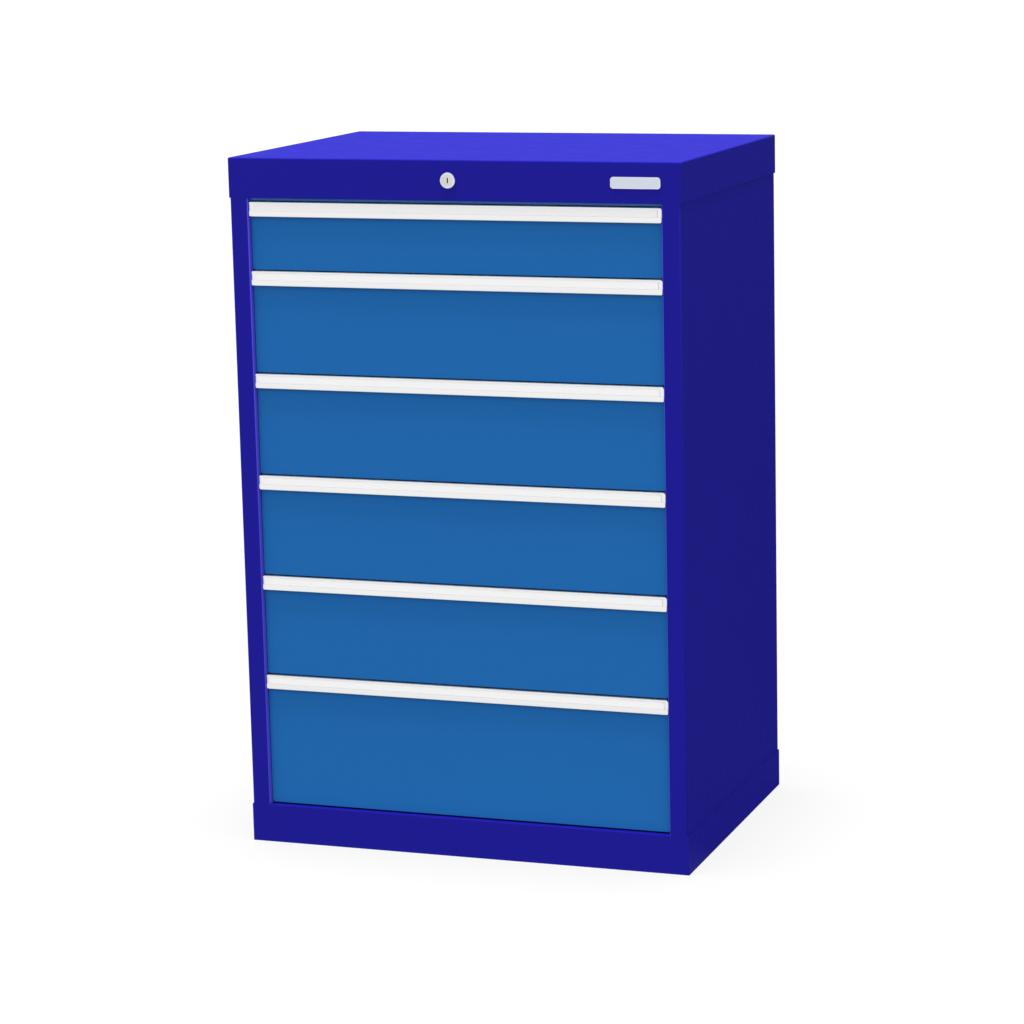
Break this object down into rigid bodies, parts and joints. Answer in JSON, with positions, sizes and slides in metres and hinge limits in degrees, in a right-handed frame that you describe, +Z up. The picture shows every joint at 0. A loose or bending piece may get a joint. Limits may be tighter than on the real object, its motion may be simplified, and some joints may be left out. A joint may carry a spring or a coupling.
{
  "type": "drawer cabinet",
  "caption": "Free-standing sheet-steel cabinet with full-width drawers on full-extension slides, strip handles with label channels and a central lock above the top drawer.",
  "frame": {"origin": "on the floor, in the middle of the cabinet's footprint", "axes": "+X to the right seen from the front, +Y to the back, +Z up"},
  "size_m": [0.68, 0.4965, 1.019],
  "materials": {
    "body_paint": "smooth satin powder coat, dark ultramarine blue",
    "drawer_paint": "smooth satin powder coat, mid blue",
    "handle_aluminium": "fine matt, silver-white anodised",
    "label_plastic": "matt white label strip",
    "plate_aluminium": "satin, bare",
    "lock_chrome": "satin nickel",
    "zinc_steel": "bright zinc plated sheet steel"
  },
  "bodies": {
    "cabinet": {"base_plinth": "body_paint", "top_cover": "body_paint", "left_side_panel": "body_paint", "right_side_panel": "body_paint", "back_panel": "body_paint", "front_cross_rail": "drawer_paint", "slide_uprights": "zinc_steel", "cabinet_rails": "zinc_steel", "name_plate": "plate_aluminium", "lock_housing": "lock_chrome", "lock_nut": "zinc_steel", "lock_channel": "zinc_steel", "shaft_bearing": "zinc_steel", "bar_guides": "zinc_steel"},
    "drawer_1": {"drawer_1_front": "drawer_paint", "drawer_1_handle": "handle_aluminium", "drawer_1_label_strip": "label_plastic", "drawer_1_tray": "drawer_paint", "drawer_1_rails": "zinc_steel", "drawer_1_catch": "zinc_steel"},
    "drawer_1_middles": {"drawer_1_middle_rails": "zinc_steel"},
    "drawer_2": {"drawer_2_front": "drawer_paint", "drawer_2_handle": "handle_aluminium", "drawer_2_label_strip": "label_plastic", "drawer_2_tray": "drawer_paint", "drawer_2_rails": "zinc_steel", "drawer_2_catch": "zinc_steel"},
    "drawer_2_middles": {"drawer_2_middle_rails": "zinc_steel"},
    "drawer_3": {"drawer_3_front": "drawer_paint", "drawer_3_handle": "handle_aluminium", "drawer_3_label_strip": "label_plastic", "drawer_3_tray": "drawer_paint", "drawer_3_rails": "zinc_steel", "drawer_3_catch": "zinc_steel"},
    "drawer_3_middles": {"drawer_3_middle_rails": "zinc_steel"},
    "drawer_4": {"drawer_4_front": "drawer_paint", "drawer_4_handle": "handle_aluminium", "drawer_4_label_strip": "label_plastic", "drawer_4_tray": "drawer_paint", "drawer_4_rails": "zinc_steel", "drawer_4_catch": "zinc_steel"},
    "drawer_4_middles": {"drawer_4_middle_rails": "zinc_steel"},
    "drawer_5": {"drawer_5_front": "drawer_paint", "drawer_5_handle": "handle_aluminium", "drawer_5_label_strip": "label_plastic", "drawer_5_tray": "drawer_paint", "drawer_5_rails": "zinc_steel", "drawer_5_catch": "zinc_steel"},
    "drawer_5_middles": {"drawer_5_middle_rails": "zinc_steel"},
    "drawer_6": {"drawer_6_front": "drawer_paint", "drawer_6_handle": "handle_aluminium", "drawer_6_label_strip": "label_plastic", "drawer_6_tray": "drawer_paint", "drawer_6_rails": "zinc_steel", "drawer_6_catch": "zinc_steel"},
    "drawer_6_middles": {"drawer_6_middle_rails": "zinc_steel"},
    "lock": {"lock_rotor": "lock_chrome", "lock_shaft": "zinc_steel"},
    "bar": {"locking_bar": "zinc_steel", "locking_teeth": "zinc_steel"}
  },
  "joints": [
    {"name": "drawer_1_slide", "type": "slide", "parent": "cabinet", "child": "drawer_1", "axis": [0, -1, 0], "range_m": [0, 0.4]},
    {"name": "drawer_1_middle_slide", "type": "slide", "parent": "cabinet", "child": "drawer_1_middles", "axis": [0, -1, 0], "range_m": [0, 0.2]},
    {"name": "drawer_2_slide", "type": "slide", "parent": "cabinet", "child": "drawer_2", "axis": [0, -1, 0], "range_m": [0, 0.4]},
    {"name": "drawer_2_middle_slide", "type": "slide", "parent": "cabinet", "child": "drawer_2_middles", "axis": [0, -1, 0], "range_m": [0, 0.2]},
    {"name": "drawer_3_slide", "type": "slide", "parent": "cabinet", "child": "drawer_3", "axis": [0, -1, 0], "range_m": [0, 0.4]},
    {"name": "drawer_3_middle_slide", "type": "slide", "parent": "cabinet", "child": "drawer_3_middles", "axis": [0, -1, 0], "range_m": [0, 0.2]},
    {"name": "drawer_4_slide", "type": "slide", "parent": "cabinet", "child": "drawer_4", "axis": [0, -1, 0], "range_m": [0, 0.4]},
    {"name": "drawer_4_middle_slide", "type": "slide", "parent": "cabinet", "child": "drawer_4_middles", "axis": [0, -1, 0], "range_m": [0, 0.2]},
    {"name": "drawer_5_slide", "type": "slide", "parent": "cabinet", "child": "drawer_5", "axis": [0, -1, 0], "range_m": [0, 0.4]},
    {"name": "drawer_5_middle_slide", "type": "slide", "parent": "cabinet", "child": "drawer_5_middles", "axis": [0, -1, 0], "range_m": [0, 0.2]},
    {"name": "drawer_6_slide", "type": "slide", "parent": "cabinet", "child": "drawer_6", "axis": [0, -1, 0], "range_m": [0, 0.4]},
    {"name": "drawer_6_middle_slide", "type": "slide", "parent": "cabinet", "child": "drawer_6_middles", "axis": [0, -1, 0], "range_m": [0, 0.2]},
    {"name": "locking_bar_drop", "type": "slide", "parent": "cabinet", "child": "bar", "axis": [0, 0, -1], "range_m": [0, 0.01414]},
    {"name": "lock_turn", "type": "hinge", "parent": "cabinet", "child": "lock", "pos_m": [-0.002, 0, 0.99], "axis": [0, 1, 0], "range_deg": [0, 90]}
  ],
  "couplings": [
    {"joint": "drawer_1_middle_slide", "follows": "drawer_1_slide", "ratio": 0.5},
    {"joint": "drawer_2_middle_slide", "follows": "drawer_2_slide", "ratio": 0.5},
    {"joint": "drawer_3_middle_slide", "follows": "drawer_3_slide", "ratio": 0.5},
    {"joint": "drawer_4_middle_slide", "follows": "drawer_4_slide", "ratio": 0.5},
    {"joint": "drawer_5_middle_slide", "follows": "drawer_5_slide", "ratio": 0.5},
    {"joint": "drawer_6_middle_slide", "follows": "drawer_6_slide", "ratio": 0.5},
    {"joint": "lock_turn", "follows": "locking_bar_drop", "rad_per_m": 111.11}
  ]
}
